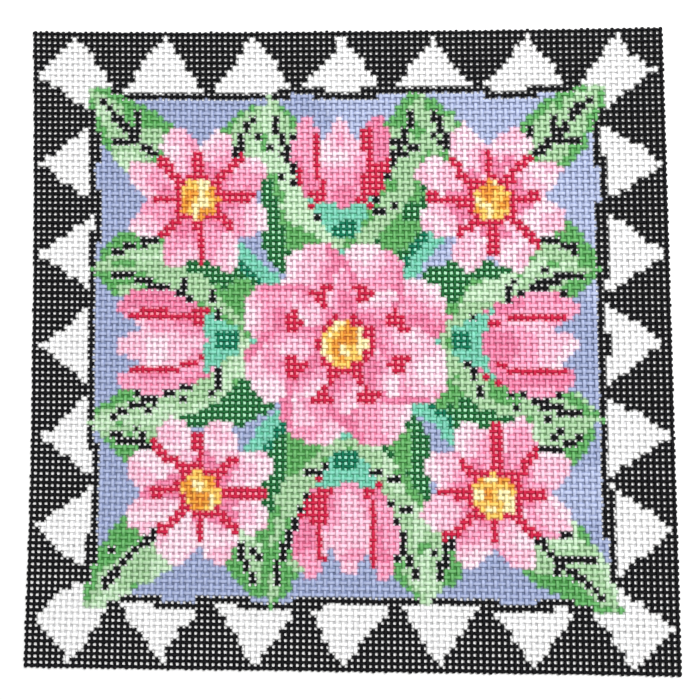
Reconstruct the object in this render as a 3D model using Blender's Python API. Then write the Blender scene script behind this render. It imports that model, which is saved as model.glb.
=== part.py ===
"""A needlepoint canvas panel: one flat sheet of open, single-thread canvas, cut close beside its outermost threads.

Metres, +Z up. The panel lies on its unpainted side, its painted face looks up, and +Y is the top of the design.
The origin is the middle of the underside.
"""

import bpy

# The weave sets the size: a standard canvas count, and how many threads run each way.
INCH = 0.0254
THREADS_PER_INCH = 13
THREAD_COUNT = 108
PITCH = INCH / THREADS_PER_INCH

# Each cut end stands a little past the middle of the outermost thread that it crosses.
CUT_END = 0.42 * PITCH
SIDE = (THREAD_COUNT - 1) * PITCH + 2 * CUT_END

# Two crossing threads, one on the other, make the sheet's thickness.
THREAD_THICKNESS = 0.00055
THICKNESS = 2 * THREAD_THICKNESS

# The cut isn't quite true: two of its sides bow inwards between their corners.
LEFT_BOW = 0.0014
TOP_BOW = 0.0008
STEPS_PER_SIDE = 24

# Handling has pulled the weave a little out of square: each side leans by this share of its length,
# so the diagonal from the upper left to the lower right is the longer one.
LEAN = 0.0065

PAINTED_CANVAS = {"colour": (0.46, 0.42, 0.41, 1.0), "roughness": 0.85, "metallic": 0.0}


def clear_scene():
    """Removes every object of the startup scene."""
    for obj in list(bpy.data.objects):
        bpy.data.objects.remove(obj)


def collection(name):
    """A new collection in the scene."""
    made = bpy.data.collections.new(name)
    bpy.context.scene.collection.children.link(made)
    return made


def material(name, look):
    """A Principled material with one plain finish."""
    made = bpy.data.materials.new(name)
    made.use_nodes = True
    shader = made.node_tree.nodes["Principled BSDF"]
    shader.inputs["Base Color"].default_value = look["colour"]
    shader.inputs["Roughness"].default_value = look["roughness"]
    shader.inputs["Metallic"].default_value = look["metallic"]
    made.diffuse_color = look["colour"]
    return made


def bowed_side(start, end, inward, bow):
    """Points from start up to, but not with, end, along a shallow parabola that dips inward by bow."""
    points = []
    for step in range(STEPS_PER_SIDE):
        share = step / STEPS_PER_SIDE
        dip = 4 * share * (1 - share) * bow
        points.append(
            tuple(a + (b - a) * share + n * dip for a, b, n in zip(start, end, inward))
        )
    return points


def leaning(point):
    """Where a point of the square panel lies once the weave is out of square."""
    x, y = point
    return (x - LEAN * y, y - LEAN * x)


def outline():
    """The cut edge seen from above, anticlockwise from the lower left corner."""
    half = SIDE / 2
    low_left, low_right = (-half, -half), (half, -half)
    top_right, top_left = (half, half), (-half, half)
    square = (
        bowed_side(low_left, low_right, (0, 1), 0)
        + bowed_side(low_right, top_right, (-1, 0), 0)
        + bowed_side(top_right, top_left, (0, -1), TOP_BOW)
        + bowed_side(top_left, low_left, (1, 0), LEFT_BOW)
    )
    return [leaning(point) for point in square]


def sheet(name, points, thickness, finish, home):
    """A flat sheet with this outline, standing on z = 0."""
    curve = bpy.data.curves.new(name, "CURVE")
    curve.dimensions = "2D"
    curve.fill_mode = "BOTH"
    curve.extrude = thickness / 2
    spline = curve.splines.new("POLY")
    spline.points.add(len(points) - 1)
    for point, (x, y) in zip(spline.points, points):
        point.co = (x, y, 0, 1)
    spline.use_cyclic_u = True
    obj = bpy.data.objects.new(name, curve)
    obj.location.z = thickness / 2
    curve.materials.append(finish)
    home.objects.link(obj)
    return obj


def main():
    clear_scene()
    panel = collection("needlepoint_canvas_panel")
    sheet(
        "canvas",
        outline(),
        THICKNESS,
        material("painted_canvas", PAINTED_CANVAS),
        panel,
    )


main()
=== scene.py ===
"""The looks of a needlepoint canvas panel: the woven threads, the paint on them, the light and the camera.

Metres, +Z up. The canvas lies on its bare side with its painted side up, and +Y is the top of the design.
Each thread of the weave is modelled, because the panel isn't stitched. A thin skin of paint spans the holes,
apart from those that a black thread passes, where the floor shows. The skin's colour is painted shade in the
holes of light paints and painted light in those of dark paints.
"""

import math

import bpy
import numpy as np
from mathutils import Matrix, Vector


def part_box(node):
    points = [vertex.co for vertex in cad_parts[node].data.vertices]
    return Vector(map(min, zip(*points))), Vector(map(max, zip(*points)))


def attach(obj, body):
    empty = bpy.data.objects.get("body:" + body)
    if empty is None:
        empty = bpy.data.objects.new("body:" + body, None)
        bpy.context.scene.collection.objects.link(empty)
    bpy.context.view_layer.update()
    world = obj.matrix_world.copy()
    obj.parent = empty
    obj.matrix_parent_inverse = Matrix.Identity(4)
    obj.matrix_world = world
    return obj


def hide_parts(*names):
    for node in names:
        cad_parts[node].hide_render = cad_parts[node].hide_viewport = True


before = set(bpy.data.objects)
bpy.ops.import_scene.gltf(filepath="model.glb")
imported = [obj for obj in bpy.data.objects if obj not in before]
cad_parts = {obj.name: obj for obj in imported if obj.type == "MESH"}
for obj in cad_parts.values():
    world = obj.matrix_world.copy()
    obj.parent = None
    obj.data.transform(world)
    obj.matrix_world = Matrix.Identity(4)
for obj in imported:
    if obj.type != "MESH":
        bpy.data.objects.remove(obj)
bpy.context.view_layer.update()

# The weave. Places in it are counted in threads from the middle of the panel: columns to the right,
# rows upwards.
THREADS = 108
MIDDLE = (THREADS - 1) / 2
CUT_END = 0.42
REACH = MIDDLE + CUT_END

# The outline, as in the CAD sheet: two bowed sides, and the whole sheet out of square by LEAN each way.
LEFT_BOW = 0.0014
TOP_BOW = 0.0008
LEAN = 0.0065
LOW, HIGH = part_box("canvas")
HALF_SIDE = (HIGH.x - LOW.x) / 2 / (1 + LEAN)
SHEET_THICKNESS = HIGH.z - LOW.z

# The columns stand a little closer at the left than at the right, and no thread is quite straight.
COLUMN_SPREAD = 0.010
SWAY = 0.00012
SWAY_LENGTH = 17

# One thread, in shares of the pitch across and in metres of height: flattened where it crosses,
# rounder between. Thick light paint widens it by up to BUILD_UP.
CROWN = 1 / 6
CROWN_HALF_WIDTH = 0.280
BETWEEN_HALF_WIDTH = 0.248
BUILD_UP = 0.20
THREAD_SIDES = 6
THREAD_RISE = 0.255 * SHEET_THICKNESS
THREAD_HALF_HEIGHT = 0.244 * SHEET_THICKNESS / math.sin(math.pi / 3)
SIDE_TURNS = 2 * math.pi * np.arange(THREAD_SIDES) / THREAD_SIDES
TIP_LENGTH = 0.08
TIP_SIZE = 0.72
END_LIFT = 0.45
TIP_LIFT = 0.35

# How uneven the threads are: in width as a whole and from place to place, in where they are cut, in their line.
THREAD_UNEVEN = 0.03
PLACE_UNEVEN = 0.06
CUT_UNEVEN = 0.05
DRIFT = 0.03
DRIFT_LENGTH = 9

# The paint on a thread: how often the stretch between two crossings takes the darker one's paint, how much
# it is brightened where it crosses over, as a painted highlight, and darkened elsewhere, as painted shade, how
# much deeper its sides and underside are, as painted shade, and how much bare canvas shows underneath.
DARKER_WINS = 0.7
CROWN_HIGHLIGHT = 1.02
OFF_CROWN_SHADE = 0.96
TONE_UNEVEN = 0.05
SIDE_SHADE = 1.3
BARE_UNDERNEATH = 0.35

# The skin of paint that spans the holes, its tint painted shade and light: how far it dips, in shares of the
# thickness, and how uneven its tint is.
SKIN_DISH = (0.10, 0.26)
SKIN_UNEVEN = 0.12

# The threads are joined into bands, so that each piece keeps a modest size.
BANDS = 9
STRIPS_PER_THREAD = 3

# How a band's faces are laid out flat: strips of wall, and above them the caps. All are shares of the layout.
STRIP_GAP = 0.06
STRIP_FOOT = 0.003
STRIP_HEIGHT = 0.96
CAPS_FROM = 0.97
CAP_SHARE = 0.4
WALL_CORNERS = ((0, 0), (1, 0), (1, 1), (0, 1))

# Paints, in sRGB levels from 0 to 255: on the threads, and on the thin skin that spans the holes. A light
# paint's skin is darker than the paint, as painted shade in the hole. A dark paint's is lighter, as painted
# light from the floor through a glaze. Black's holes stay open.
PAINTS = {
    "black": ((20, 20, 24), None),
    "white": ((250, 250, 250), (203, 203, 205)),
    "ground": ((172, 183, 216), (124, 136, 168)),
    "ground_light": ((188, 198, 228), (140, 150, 180)),
    "blush": ((254, 230, 240), (196, 158, 176)),
    "pale_pink": ((252, 208, 226), (205, 140, 165)),
    "pink": ((249, 178, 206), (213, 118, 150)),
    "hot_pink": ((240, 146, 180), (206, 96, 134)),
    "crimson": ((204, 38, 74), (250, 150, 168)),
    "cream": ((254, 242, 190), (190, 176, 130)),
    "yellow": ((251, 211, 112), (206, 150, 60)),
    "orange": ((240, 168, 70), (190, 110, 44)),
    "mint": ((206, 233, 202), (146, 178, 142)),
    "pale_green": ((180, 216, 174), (112, 150, 106)),
    "green": ((112, 184, 112), (64, 138, 64)),
    "dark_green": ((32, 106, 56), (172, 234, 190)),
    "turquoise": ((132, 212, 188), (96, 184, 152)),
    "teal": ((18, 120, 88), (150, 226, 200)),
}
INDEX = {name: number for number, name in enumerate(PAINTS)}
ON_THREADS = np.array([threads for threads, _ in PAINTS.values()])
HOLE_LIGHT_AND_SHADE = np.array([holes or threads for threads, holes in PAINTS.values()])
OPEN_HOLES = np.array([holes is None for _, holes in PAINTS.values()])
BARE_CANVAS = (236, 232, 222)

# The design, in threads from the middle.
WOBBLE = 0.7
WOBBLE_SIZE = 7
BORDER = 10.6
TEETH = 7
QUARTER = math.pi / 2

# The camera: where it looks, from how far, and how it is turned.
LENS = 50
LOOK_AT = (0.0010, -0.0022, 0.0005)
DISTANCE = 0.3179
AZIMUTH = math.radians(24.21)
ELEVATION = math.radians(85.80)
ROLL = math.radians(-24.33)

# The light, and the surface that the panel lies on.
SOFT_BOX_PLACE = (0.35, 0.45, 1.1)
SOFT_BOX_SIZE = 0.5
SOFT_BOX_POWER = 15
EVEN_LIGHT = 0.36
FLOOR_SIZE = 6
FLOOR_LEVEL = -0.0002


def linear(level):
    """Linear light from an sRGB level of 0 to 255."""
    share = np.asarray(level, float) / 255
    return np.where(share <= 0.04045, share / 12.92, ((share + 0.055) / 1.055) ** 2.4)


def smooth_noise(a, b, size, seed):
    """Noise from -1 to 1 over a plane, its blobs about size across."""
    cells = 48
    lattice = np.random.default_rng(seed).uniform(-1, 1, (cells, cells))
    a, b = a / size + cells / 2, b / size + cells / 2
    i, j = np.floor(a).astype(int) % (cells - 1), np.floor(b).astype(int) % (cells - 1)
    s, t = a - np.floor(a), b - np.floor(b)
    s, t = s * s * (3 - 2 * s), t * t * (3 - 2 * t)
    low = lattice[i, j] * (1 - s) + lattice[i + 1, j] * s
    high = lattice[i, j + 1] * (1 - s) + lattice[i + 1, j + 1] * s
    return low * (1 - t) + high * t


# ---------------------------------------------------------------- the painted design


class Painting:
    """The design: one paint for each crossing of the weave, on lines that wobble as a brush does."""

    def __init__(self):
        line = np.arange(THREADS) - MIDDLE
        self.column, self.row = np.meshgrid(line, line, indexing="ij")
        self.u = self.column + WOBBLE * smooth_noise(self.column, self.row, WOBBLE_SIZE, 1)
        self.v = self.row + WOBBLE * smooth_noise(self.row, self.column, WOBBLE_SIZE, 2)
        self.paint = np.full((THREADS, THREADS), INDEX["ground"])
        self.strokes = 0

    def fill(self, mask, name):
        """Lays one paint over a mask."""
        self.paint[mask] = INDEX[name]

    def shade(self, mask, level, names):
        """Lays a row of paints over a mask, picked by a level from 0 to 1."""
        step = np.clip((level * len(names)).astype(int), 0, len(names) - 1)
        paints = np.array([INDEX[name] for name in names])
        self.paint[mask] = paints[step][mask]

    def turned(self, centre, angle):
        """Distances along and across a direction, from a centre."""
        du, dv = self.u - centre[0], self.v - centre[1]
        c, s = math.cos(angle), math.sin(angle)
        return du * c + dv * s, dv * c - du * s

    def radius(self, centre):
        """Distance from a centre."""
        return np.hypot(self.u - centre[0], self.v - centre[1])

    def patches(self, size):
        """New uneven patches, from -1 to 1, about size threads across."""
        self.strokes += 1
        return smooth_noise(self.u, self.v, size, 100 + self.strokes)


def out(distance, angle):
    """A point at a distance from the middle of the panel."""
    return (distance * math.cos(angle), distance * math.sin(angle))


def blade(along, across, length, width, bluntness):
    """A leaf's or petal's mask, its share of the length, and how far out from its midrib, 1 at the edge."""
    share = np.clip(along / length, 0, 1)
    half = np.maximum(width / 2 * np.sin(math.pi * share**0.8) ** bluntness, 1e-6)
    inside = (along > 0) & (along < length) & (np.abs(across) < half)
    return inside, share, across / half


def leaf(p, base, angle, length, width, bend, names, edge="green", veins=True):
    """A pointed leaf in patches of green, with a black midrib and side veins drawn in dashes."""
    along, across = p.turned(base, angle)
    across = across - bend * length * np.clip(along / length, 0, 1) ** 2
    inside, share, side = blade(along, across, length, width, 0.75)
    lit_side = 1 if bend >= 0 else -1
    p.shade(inside, 0.42 + 0.38 * side * lit_side + 0.35 * p.patches(4.5), names)
    p.fill(inside & (np.abs(side) > 0.72) & (p.patches(5) > 0.2), edge)
    if veins:
        rib = (np.abs(across) < 0.55) & (share > 0.08) & (share < 0.86)
        p.fill(inside & rib, "black")
        slant = (along - 1.1 * np.abs(across)) % 6
        twig = (slant < 1) & (np.abs(side) < 0.72) & (share > 0.15) & (share < 0.75)
        p.fill(inside & twig & (p.patches(6) > -0.25), "black")


def stem(p, start, end, sag, width):
    """A curved turquoise stem between two points, darker along one side."""
    angle = math.atan2(end[1] - start[1], end[0] - start[0])
    along, across = p.turned(start, angle)
    share = along / math.hypot(end[0] - start[0], end[1] - start[1])
    across = across - sag * 4 * share * (1 - share)
    inside = (share > 0) & (share < 1) & (np.abs(across) < width / 2)
    p.fill(inside, "turquoise")
    p.fill(inside & (across > width / 2 - 1), "teal")


def petals(p, centre, count, reach, width, start, names, bluntness, inner=0.0, edge=None):
    """A ring of petals, each in patches that go from its base's paint to its tip's."""
    for k in range(count):
        along, across = p.turned(centre, start + 2 * math.pi * k / count)
        inside, share, side = blade(along, across, reach, width, bluntness)
        inside &= share > inner
        p.shade(inside, 0.85 * share + 0.28 * p.patches(4) + 0.2 * side, names)
        if edge:
            p.fill(inside & (side < -0.72) & (share < 0.9), edge)


def flower_heart(p, centre, radius):
    """A speckled yellow middle with a crimson rim."""
    p.fill(p.radius(centre) < radius + 0.9, "crimson")
    p.shade(p.radius(centre) < radius, 0.5 + 0.75 * p.patches(1.5), ("orange", "yellow", "cream"))


def rosette(p, centre):
    """The double flower in the middle: eight broad petals, and eight slim ones on a crimson ring."""
    broad = ("crimson", "hot_pink", "pink", "pale_pink", "blush")
    petals(p, centre, 8, 18.0, 13.6, math.pi / 8, broad, 0.34, edge="hot_pink")
    p.fill(p.radius(centre) < 10.6, "crimson")
    petals(p, centre, 8, 12.6, 5.6, 0, broad, 0.5, inner=0.3)
    flower_heart(p, centre, 3.9)


def daisy(p, centre, radius, start, names):
    """Eight separate petals with crimson lines between them."""
    petals(p, centre, 8, radius, radius * 0.58, start, names, 0.42)
    for k in range(8):
        along, across = p.turned(centre, start + 2 * math.pi * (k + 0.5) / 8)
        line_length = radius * (0.62 + 0.12 * (k % 3))
        p.fill((along > 0) & (along < line_length) & (np.abs(across) < 0.75), "crimson")
    flower_heart(p, centre, radius * 0.25)


def tulip(p, base, angle, length, width):
    """A cup with three points, its middle petal in front of two side ones, in a turquoise calyx."""
    along, across = p.turned(base, angle)
    share = np.clip(along / length, 0, 1)
    cup = width / 2 * (np.sin(math.pi * (0.06 + 0.62 * share)) ** 0.62 + 0.14 * share**3)
    side = across / cup
    top = 0.76 + 0.24 * np.abs(np.cos(1.5 * math.pi * np.clip(side, -1, 1)))
    whole = (along > 0) & (share < top) & (np.abs(side) < 1)
    level = 0.1 + 0.55 * share + 0.35 * p.patches(4) + 0.15 * np.sign(side)
    p.shade(whole, level, ("crimson", "hot_pink", "pink", "pink"))
    front = 0.36 + 0.12 * np.sin(math.pi * share)
    p.fill(whole & (np.abs(side) < front + 0.13) & (share < 0.88), "crimson")
    level = 0.1 + 0.8 * share + 0.35 * p.patches(4)
    p.shade(whole & (np.abs(side) < front), level, ("hot_pink", "pink", "pale_pink", "blush"))
    cup_foot = (along > -2.5) & (along < 2.6 + 0.25 * np.abs(across))
    p.fill(cup_foot & (np.abs(across) < 3.4 + 0.5 * along), "turquoise")
    p.fill((along > -2.5) & (along < 0.6) & (np.abs(across) < 1.6), "teal")


def border(p):
    """Black and white teeth all round, between two black lines."""
    depth = REACH - np.maximum(np.abs(p.u), np.abs(p.v))
    along = np.minimum(np.abs(p.u), np.abs(p.v))
    tooth = 2 * REACH / TEETH
    slope = 2 * np.abs((along / tooth + 0.5) % 1 - 0.5)
    p.fill(depth < BORDER, "white")
    p.fill((depth < BORDER) & (depth / BORDER < slope + 0.08), "black")
    p.fill((depth >= BORDER - 0.2) & (depth < BORDER + 1.1), "black")
    edge = REACH - np.maximum(np.abs(p.column), np.abs(p.row))
    p.fill(edge < 1, "black")


def foliage(p):
    """What lies behind the flowers: dark leaves round the middle, stems, and long light leaves."""
    dark = ("dark_green", "green", "dark_green")
    light = ("green", "pale_green", "mint")
    for k in range(8):
        angle = (k + 0.5) * QUARTER / 2
        leaf(p, out(10, angle), angle, 25, 13, 0.1 if k % 2 else -0.1, dark, "dark_green", veins=False)
    for k in range(4):
        across, corner = k * QUARTER, (k + 0.5) * QUARTER
        stem(p, out(12, across), out(22, across), 1.0, 3.6)
        stem(p, out(12, corner), out(34, corner), 2.0, 3.4)
    for k in range(4):
        corner = (k + 0.5) * QUARTER
        for turn in (1, -1):
            leaf(p, out(30, corner), corner + 1.0 * turn, 22, 10.5, 0.12 * turn, light)
        leaf(p, out(37, corner), corner, 25, 11.5, 0.0, light)
    for k in range(4):
        angle = k * QUARTER
        leaf(p, out(16, angle), angle + 0.64, 30, 10.5, -0.20, ("mint", "pale_green", "green"))
        leaf(p, out(16, angle), angle - 0.64, 30, 10.5, 0.20, ("pale_green", "green", "pale_green"))


def design():
    """The whole painted design, as a paint number for each crossing [column, row]."""
    p = Painting()
    p.fill(smooth_noise(p.u, p.v, 13, 9) + 0.02 * (p.u + p.v) > 0.75, "ground_light")
    border(p)
    foliage(p)
    for k in range(4):
        tulip(p, out(20.5, k * QUARTER), k * QUARTER, 18.5, 17)
    for k in range(4):
        corner = (k + 0.5) * QUARTER
        deep = ("hot_pink", "pink", "pale_pink", "blush")
        light = ("hot_pink", "pale_pink", "blush", "pale_pink")
        daisy(p, out(35, corner), 13.2, corner + math.pi / 8, deep if k % 2 else light)
    rosette(p, (0, 0))
    return p.paint


# ---------------------------------------------------------------- the weave


def place(column, row):
    """Where a point of the weave lies in plan, in metres."""
    a, b = column / REACH, row / REACH
    x = HALF_SIDE * (a + COLUMN_SPREAD * (a**2 - 1))
    y = HALF_SIDE * b
    x = x + LEFT_BOW * (1 - b**2) * ((1 - a) / 2) ** 2
    y = y - TOP_BOW * (1 - a**2) * ((1 + b) / 2) ** 2
    x = x + SWAY * smooth_noise(column, row, SWAY_LENGTH, 21)
    y = y + SWAY * smooth_noise(row, column, SWAY_LENGTH, 22)
    return x - LEAN * y, y - LEAN * x


def stations():
    """Along a thread, from one cut end to the other: places, the crossing of each, and what it is there."""
    crossings = np.arange(THREADS)
    crown_places = np.stack([crossings - CROWN, crossings + CROWN, crossings + 0.5], 1).ravel()[:-1]
    crown_kinds = np.tile(["crown", "crown", "between"], THREADS)[:-1]
    owners = np.repeat(crossings, 3)[:-1]
    start = [-CUT_END, TIP_LENGTH - CUT_END]
    finish = [THREADS - 1 + CUT_END - TIP_LENGTH, THREADS - 1 + CUT_END]
    places = np.concatenate([start, crown_places, finish])
    kinds = np.concatenate([["tip", "end"], crown_kinds, ["end", "tip"]])
    owners = np.concatenate([[0, 0], owners, [THREADS - 1, THREADS - 1]])
    return places - MIDDLE, owners, kinds


def paint_thickness(paints):
    """From 0, a thin dark stain, to 1, a thick light paint that narrows the holes."""
    return np.interp(ON_THREADS.min(1), [60, 160], [0, 1])[paints]


def paints_along(painted, numbers, upright):
    """The paint at each crossing along some threads, [thread, crossing]."""
    return painted[numbers] if upright else painted[:, numbers].T


def crosses_over(numbers, owners, upright):
    """Whether each thread passes over the other one at its crossings, [thread, station]."""
    return (numbers[:, None] + owners[None, :]) % 2 == (0 if upright else 1)


def half_widths(numbers, upright, painted, rng):
    """Half the width of some threads along their length, [thread, station], in shares of the pitch."""
    places, owners, kinds = stations()
    thick = paint_thickness(paints_along(painted, numbers, upright))
    here, following = thick[:, owners], thick[:, np.minimum(owners + 1, THREADS - 1)]
    thick = np.where(kinds == "between", (here + following) / 2, here)
    half_width = np.where(kinds == "between", BETWEEN_HALF_WIDTH, CROWN_HALF_WIDTH)
    uneven = THREAD_UNEVEN * rng.standard_normal((len(numbers), 1))
    uneven = uneven + PLACE_UNEVEN * rng.standard_normal((len(numbers), len(places)))
    return half_width * (1 + BUILD_UP * thick + uneven)


def thread_points(numbers, upright, painted, rng):
    """The points of some threads, [thread, station, side, xyz]. Upright ones are the columns."""
    places, owners, kinds = stations()
    over = np.where(crosses_over(numbers, owners, upright), 1.0, -1.0)
    swing = np.select([kinds == "crown", kinds == "end", kinds == "tip"], [1.0, END_LIFT, TIP_LIFT], 0.0)
    lift = THREAD_RISE * over * swing
    half_width = half_widths(numbers, upright, painted, rng)
    size = np.where(kinds == "tip", TIP_SIZE, 1.0)
    ends = np.where(np.isin(kinds, ("end", "tip")), np.sign(places), 0)
    trim = CUT_UNEVEN * rng.standard_normal((len(numbers), 2))
    places = places[None, :] + ends * np.where(places > 0, trim[:, 1:], trim[:, :1])
    lines = [
        smooth_noise(places[k], np.full(len(owners), 3.0 * number), DRIFT_LENGTH, 31 + upright)
        for k, number in enumerate(numbers)
    ]
    middle = numbers[:, None] - MIDDLE + DRIFT * np.stack(lines)
    aside = middle[:, :, None] + (half_width * size)[:, :, None] * np.cos(SIDE_TURNS)
    along = np.broadcast_to(places[:, :, None], aside.shape)
    x, y = place(aside, along) if upright else place(along, aside)
    height = (THREAD_HALF_HEIGHT * size)[None, :, None] * np.sin(SIDE_TURNS)
    z = SHEET_THICKNESS / 2 + lift[:, :, None] + height
    return np.stack([x, y, np.broadcast_to(z, x.shape)], 3)


def thread_colours(numbers, upright, painted, rng):
    """Linear colours [thread, station, side, rgb]: each crossing its paint, between two mostly the darker."""
    _, owners, kinds = stations()
    table = linear(ON_THREADS)
    paints = paints_along(painted, numbers, upright)
    colour = table[paints[:, owners]]
    following = table[paints[:, np.minimum(owners + 1, THREADS - 1)]]
    darker_next = following.sum(2) < colour.sum(2)
    chance = np.where(darker_next, DARKER_WINS, 1 - DARKER_WINS)
    take_next = chance > rng.random(darker_next.shape)
    swap = (kinds == "between")[None, :] & take_next
    colour = np.where(swap[:, :, None], following, colour)
    on_top = (kinds == "crown")[None, :] & crosses_over(numbers, owners, upright)
    # A painted highlight where the thread crosses over, and painted shade elsewhere.
    light_and_shade_tone = np.where(on_top, CROWN_HIGHLIGHT, OFF_CROWN_SHADE)
    colour = colour * (light_and_shade_tone + TONE_UNEVEN * rng.standard_normal(light_and_shade_tone.shape))[:, :, None]
    bare = np.interp(np.sin(SIDE_TURNS), [-0.9, 0.0], [BARE_UNDERNEATH, 0.0])
    # Painted shade: the sides and the underside are made deeper.
    side_shade_power = np.interp(np.sin(SIDE_TURNS), [0.0, 0.9], [SIDE_SHADE, 1.0])
    colour = np.clip(colour, 0, 1)[:, :, None, :] ** side_shade_power[:, None]
    colour = colour * (1 - bare[:, None]) + linear(np.array(BARE_CANVAS)) * bare[:, None]
    return np.clip(colour, 0, 1)


def wall_grid(count, rings):
    """The number of the thread, the station and the side of each wall face."""
    return np.meshgrid(np.arange(count), np.arange(rings - 1), np.arange(THREAD_SIDES), indexing="ij")


def thread_faces(count, rings):
    """Faces of count tubes, as numbers of their points: the walls, and the two caps of each tube."""
    t, r, s = wall_grid(count, rings)
    walls = np.stack(
        [(t * rings + r + ring) * THREAD_SIDES + (s + side) % THREAD_SIDES for side, ring in WALL_CORNERS], -1
    )
    tubes, sides = np.arange(count)[:, None], np.arange(THREAD_SIDES)[None, :]
    first = tubes * rings * THREAD_SIDES + sides[:, ::-1]
    last = (tubes * rings + rings - 1) * THREAD_SIDES + sides
    return walls.reshape(-1, 4), np.concatenate([first, last])


def strip_map(count, rings):
    """A layout of the tubes' walls in upright strips, some to each thread, and of the caps above them."""
    strips = count * STRIPS_PER_THREAD
    per_strip = math.ceil((rings - 1) / STRIPS_PER_THREAD)
    t, r, s = wall_grid(count, rings)
    strip, step = t * STRIPS_PER_THREAD + r // per_strip, r % per_strip
    corners = []
    for side, ring in WALL_CORNERS:
        u = (strip + STRIP_GAP + (1 - 2 * STRIP_GAP) * (s + side) / THREAD_SIDES) / strips
        v = STRIP_FOOT + STRIP_HEIGHT * (step + ring) / per_strip
        corners.append(np.stack([u, v], -1))
    walls = np.stack(corners, -2)
    centre = (np.arange(2 * count) + 0.5) / (2 * count)
    radius = CAP_SHARE * min(1 / (2 * count), 1 - CAPS_FROM)
    cap_u = centre[:, None] + radius * np.cos(SIDE_TURNS)
    cap_v = np.broadcast_to((1 + CAPS_FROM) / 2 + radius * np.sin(SIDE_TURNS), cap_u.shape)
    caps = np.stack([cap_u, cap_v], -1)
    return np.concatenate([walls.reshape(-1, 2), caps.reshape(-1, 2)])


def fibre_map(count, rings):
    """Turns round the thread, and threads along it, for the twist of the yarn."""
    places, _, _ = stations()
    _, r, s = wall_grid(count, rings)
    corners = [np.stack([(s + side) / THREAD_SIDES, places[r + ring]], -1) for side, ring in WALL_CORNERS]
    caps = np.zeros((2 * count * THREAD_SIDES, 2))
    return np.concatenate([np.stack(corners, -2).reshape(-1, 2), caps])


def set_colours(mesh, colours):
    """Gives the points of a mesh their paint."""
    rgba = np.concatenate([colours, np.ones((len(colours), 1))], 1)
    paint = mesh.color_attributes.new("paint", "FLOAT_COLOR", "POINT")
    paint.data.foreach_set("color", rgba.astype(np.float32).ravel())


def band_mesh(name, numbers, upright, painted, rng):
    """One band of threads as a mesh, with its colours and its two maps."""
    points = thread_points(numbers, upright, painted, rng)
    colours = thread_colours(numbers, upright, painted, rng)
    count, rings = points.shape[:2]
    walls, caps = thread_faces(count, rings)
    if not upright:
        walls, caps = walls[:, ::-1], caps[:, ::-1]
    mesh = bpy.data.meshes.new(name)
    mesh.vertices.add(count * rings * THREAD_SIDES)
    mesh.vertices.foreach_set("co", points.astype(np.float32).ravel())
    corners = np.concatenate([walls.ravel(), caps.ravel()]).astype(np.int32)
    mesh.loops.add(len(corners))
    mesh.loops.foreach_set("vertex_index", corners)
    sizes = np.concatenate([np.full(len(walls), 4), np.full(len(caps), THREAD_SIDES)])
    mesh.polygons.add(len(sizes))
    mesh.polygons.foreach_set("loop_start", (np.cumsum(sizes) - sizes).astype(np.int32))
    mesh.update(calc_edges=True)
    mesh.validate()
    set_colours(mesh, colours.reshape(-1, 3))
    for title, layout in (("OFBake", strip_map(count, rings)), ("fibre", fibre_map(count, rings))):
        if not upright:
            quads = 4 * len(walls)
            layout[:quads] = layout[:quads].reshape(-1, 4, 2)[:, ::-1].reshape(-1, 2)
            layout[quads:] = layout[quads:].reshape(-1, THREAD_SIDES, 2)[:, ::-1].reshape(-1, 2)
        mesh.uv_layers.new(name=title).data.foreach_set("uv", layout.astype(np.float32).ravel())
    mesh.shade_smooth()
    return mesh


def skin_points(dish):
    """The skin's points, [point, xyz]: one in each crossing, then one in each hole, dished by its own depth."""
    line = np.arange(THREADS) - MIDDLE
    holes = line[:-1] + 0.5
    column, row = np.meshgrid(line, line, indexing="ij")
    middle_column, middle_row = np.meshgrid(holes, holes, indexing="ij")
    x, y = place(np.append(column, middle_column), np.append(row, middle_row))
    z = SHEET_THICKNESS / 2 - np.append(np.zeros(column.size), dish)
    return np.stack([x, y, z], 1)


def skin_mesh(painted):
    """The skin of painted shade and light in the weave's middle, open where a black thread passes, and its
    holes.
    """
    rng = np.random.default_rng(6)
    i, j = (index.ravel() for index in np.indices((THREADS - 1, THREADS - 1)))
    first = i * THREADS + j
    corners = np.stack([first, first + THREADS, first + THREADS + 1, first + 1], 1)
    spanned = ~OPEN_HOLES[painted.ravel()[corners]].any(1)
    points = skin_points(SHEET_THICKNESS * rng.uniform(*SKIN_DISH, len(corners)))
    # The skin's tints: painted shade for light paints, painted light for dark ones.
    light_and_shade_tints = linear(HOLE_LIGHT_AND_SHADE)[painted.ravel()]
    strength = 1 + SKIN_UNEVEN * rng.standard_normal((len(corners), 1))
    colours = np.clip(np.concatenate([light_and_shade_tints, light_and_shade_tints[corners].mean(1) * strength]), 0, 1)

    centres = painted.size + np.arange(len(corners))
    around = np.repeat(centres[:, None], 4, 1)
    fans = np.stack([corners, np.roll(corners, -1, 1), around], 2)[spanned].reshape(-1, 3)
    used, triangles = np.unique(fans, return_inverse=True)
    mesh = bpy.data.meshes.new("hole_shading_skin")
    mesh.from_pydata(points[used].tolist(), [], triangles.reshape(-1, 3).tolist())
    set_colours(mesh, colours[used])
    plan = points[used][triangles.ravel(), :2]
    layout = 0.5 + plan / (2.02 * HALF_SIDE)
    mesh.uv_layers.new(name="OFBake").data.foreach_set("uv", layout.astype(np.float32).ravel())
    mesh.shade_smooth()
    return mesh, spanned.sum()


# ---------------------------------------------------------------- materials


def new_material(name):
    """A material with one Principled shader, and its node tree."""
    made = bpy.data.materials.new(name)
    made.use_nodes = True
    return made, made.node_tree, made.node_tree.nodes["Principled BSDF"]


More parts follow.
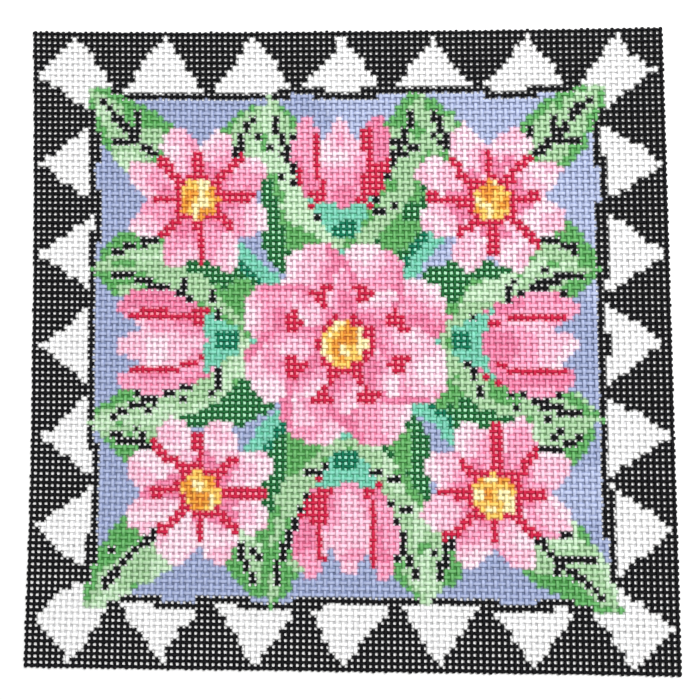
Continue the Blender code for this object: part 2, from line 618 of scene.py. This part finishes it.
def add(tree, kind, **values):
    """A node with some of its settings and input values set."""
    node = tree.nodes.new(kind)
    for key, value in values.items():
        if hasattr(node, key):
            setattr(node, key, value)
        else:
            node.inputs[key.replace("_", " ").title()].default_value = value
    return node


def mapped(tree, source, low, high, source_low=0.0, source_high=1.0):
    """A number from a socket, moved to the range from low to high."""
    node = add(tree, "ShaderNodeMapRange")
    node.inputs["From Min"].default_value = source_low
    node.inputs["From Max"].default_value = source_high
    node.inputs["To Min"].default_value = low
    node.inputs["To Max"].default_value = high
    tree.links.new(source, node.inputs["Value"])
    return node.outputs["Result"]


def mottled_paint(tree, shader, scale, detail, roughness, low, high):
    """Gives the shader the mesh's own paint, from low to high times as bright by noise. Returns the noise."""
    paint = add(tree, "ShaderNodeAttribute", attribute_name="paint")
    spot = add(tree, "ShaderNodeTexCoord")
    noise = add(tree, "ShaderNodeTexNoise", scale=scale, detail=detail, roughness=roughness)
    tree.links.new(spot.outputs["Object"], noise.inputs["Vector"])
    colour = add(tree, "ShaderNodeVectorMath", operation="SCALE")
    tree.links.new(paint.outputs["Color"], colour.inputs[0])
    tree.links.new(mapped(tree, noise.outputs["Fac"], low, high, 0.25, 0.75), colour.inputs["Scale"])
    tree.links.new(colour.outputs["Vector"], shader.inputs["Base Color"])
    return noise.outputs["Fac"]


def bump(tree, height, distance):
    """A bump node for a height."""
    node = add(tree, "ShaderNodeBump")
    node.inputs["Strength"].default_value = 0.35
    node.inputs["Distance"].default_value = distance
    tree.links.new(height, node.inputs["Height"])
    return node


def yarn_twist(tree):
    """A wave that winds round the thread: two ridges round it, and 2.2 to each crossing along it."""
    along = add(tree, "ShaderNodeUVMap", uv_map="fibre")
    slant = add(tree, "ShaderNodeVectorMath", operation="DOT_PRODUCT")
    slant.inputs[1].default_value = (2.0, 2.2, 0.0)
    turns = add(tree, "ShaderNodeMath", operation="MULTIPLY")
    turns.inputs[1].default_value = 2 * math.pi
    wave = add(tree, "ShaderNodeMath", operation="SINE")
    tree.links.new(along.outputs["UV"], slant.inputs[0])
    tree.links.new(slant.outputs["Value"], turns.inputs[0])
    tree.links.new(turns.outputs["Value"], wave.inputs[0])
    return wave.outputs["Value"]


def painted_thread_material():
    """Matte paint on sized cotton: its colour, the twist of the yarn, its fibres, and an uneven sheen."""
    made, tree, shader = new_material("painted_cotton_thread")
    fibres = mottled_paint(tree, shader, 3800.0, 3.0, 0.6, 0.90, 1.08)
    twist = bump(tree, yarn_twist(tree), 0.00006)
    fuzz = bump(tree, fibres, 0.00005)
    tree.links.new(twist.outputs["Normal"], fuzz.inputs["Normal"])
    tree.links.new(fuzz.outputs["Normal"], shader.inputs["Normal"])
    tree.links.new(mapped(tree, fibres, 0.55, 0.85), shader.inputs["Roughness"])
    shader.inputs["Specular IOR Level"].default_value = 0.12
    return made


def hole_shading_skin_material():
    """Thin dried paint whose colour is painted shade and light: slightly cloudy, with a soft sheen."""
    made, tree, shader = new_material("thin_hole_shading_skin")
    mottled_paint(tree, shader, 2200.0, 2.0, 0.5, 0.88, 1.10)
    shader.inputs["Roughness"].default_value = 0.6
    shader.inputs["Specular IOR Level"].default_value = 0.12
    return made


def floor_material():
    """A plain white sweep."""
    made, _, shader = new_material("white_floor")
    shader.inputs["Base Color"].default_value = (0.97, 0.97, 0.97, 1)
    shader.inputs["Roughness"].default_value = 0.9
    shader.inputs["Specular IOR Level"].default_value = 0.1
    return made


# ---------------------------------------------------------------- pieces, light and camera


def canvas_bands(painted):
    """The woven canvas, as bands of upright and of level threads."""
    finish = painted_thread_material()
    rng = np.random.default_rng(5)
    groups = np.array_split(np.arange(THREADS), BANDS)
    for upright, word in ((True, "warp"), (False, "weft")):
        for number, group in enumerate(groups, 1):
            name = f"{word}_threads_{number}"
            mesh = band_mesh(name, group, upright, painted, rng)
            mesh.materials.append(finish)
            band = bpy.data.objects.new(name, mesh)
            bpy.context.scene.collection.objects.link(band)
            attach(band, "root")
            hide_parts("canvas")


def hole_shading_skin(painted):
    """The skin of paint across the holes, coloured as painted shade and light, as one open sheet."""
    mesh, spanned = skin_mesh(painted)
    mesh.materials.append(hole_shading_skin_material())
    skin = bpy.data.objects.new("hole_shading_skin", mesh)
    bpy.context.scene.collection.objects.link(skin)
    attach(skin, "root")
    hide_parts("canvas")


def floor():
    """The surface that the panel lies on."""
    bpy.ops.mesh.primitive_plane_add(size=FLOOR_SIZE, location=(0, 0, FLOOR_LEVEL))
    plane = bpy.context.object
    plane.name = "floor"
    plane.data.materials.append(floor_material())


def area_light(name, position, size, power):
    """A square soft box aimed at the middle of the panel."""
    data = bpy.data.lights.new(name, "AREA")
    data.size = size
    data.energy = power
    lamp = bpy.data.objects.new(name, data)
    lamp.location = position
    lamp.rotation_euler = (-Vector(position)).to_track_quat("-Z", "Y").to_euler()
    bpy.context.scene.collection.objects.link(lamp)


def light():
    """One large soft box above the upper right corner, and even light from all round."""
    area_light("soft_box", SOFT_BOX_PLACE, SOFT_BOX_SIZE, SOFT_BOX_POWER)
    world = bpy.data.worlds.new("even_light")
    world.use_nodes = True
    world.node_tree.nodes["Background"].inputs["Color"].default_value = (1, 1, 1, 1)
    world.node_tree.nodes["Background"].inputs["Strength"].default_value = EVEN_LIGHT
    bpy.context.scene.world = world


def camera():
    """Straight above the panel but for a few degrees, and turned to see it upright."""
    back = Vector((
        math.sin(AZIMUTH) * math.cos(ELEVATION),
        -math.cos(AZIMUTH) * math.cos(ELEVATION),
        math.sin(ELEVATION),
    ))
    level = Vector((math.cos(AZIMUTH), math.sin(AZIMUTH), 0))
    rise = back.cross(level)
    right = level * math.cos(ROLL) + rise * math.sin(ROLL)
    up = rise * math.cos(ROLL) - level * math.sin(ROLL)
    data = bpy.data.cameras.new("camera")
    data.lens = LENS
    data.clip_start = 0.01
    eye = bpy.data.objects.new("camera", data)
    turned = Matrix((right, up, back)).transposed().to_4x4()
    eye.matrix_world = Matrix.Translation(Vector(LOOK_AT) + back * DISTANCE) @ turned
    bpy.context.scene.collection.objects.link(eye)
    bpy.context.scene.camera = eye


bpy.context.scene.view_settings.view_transform = "Standard"
camera()
painted = design()
canvas_bands(painted)
hole_shading_skin(painted)
floor()
light()
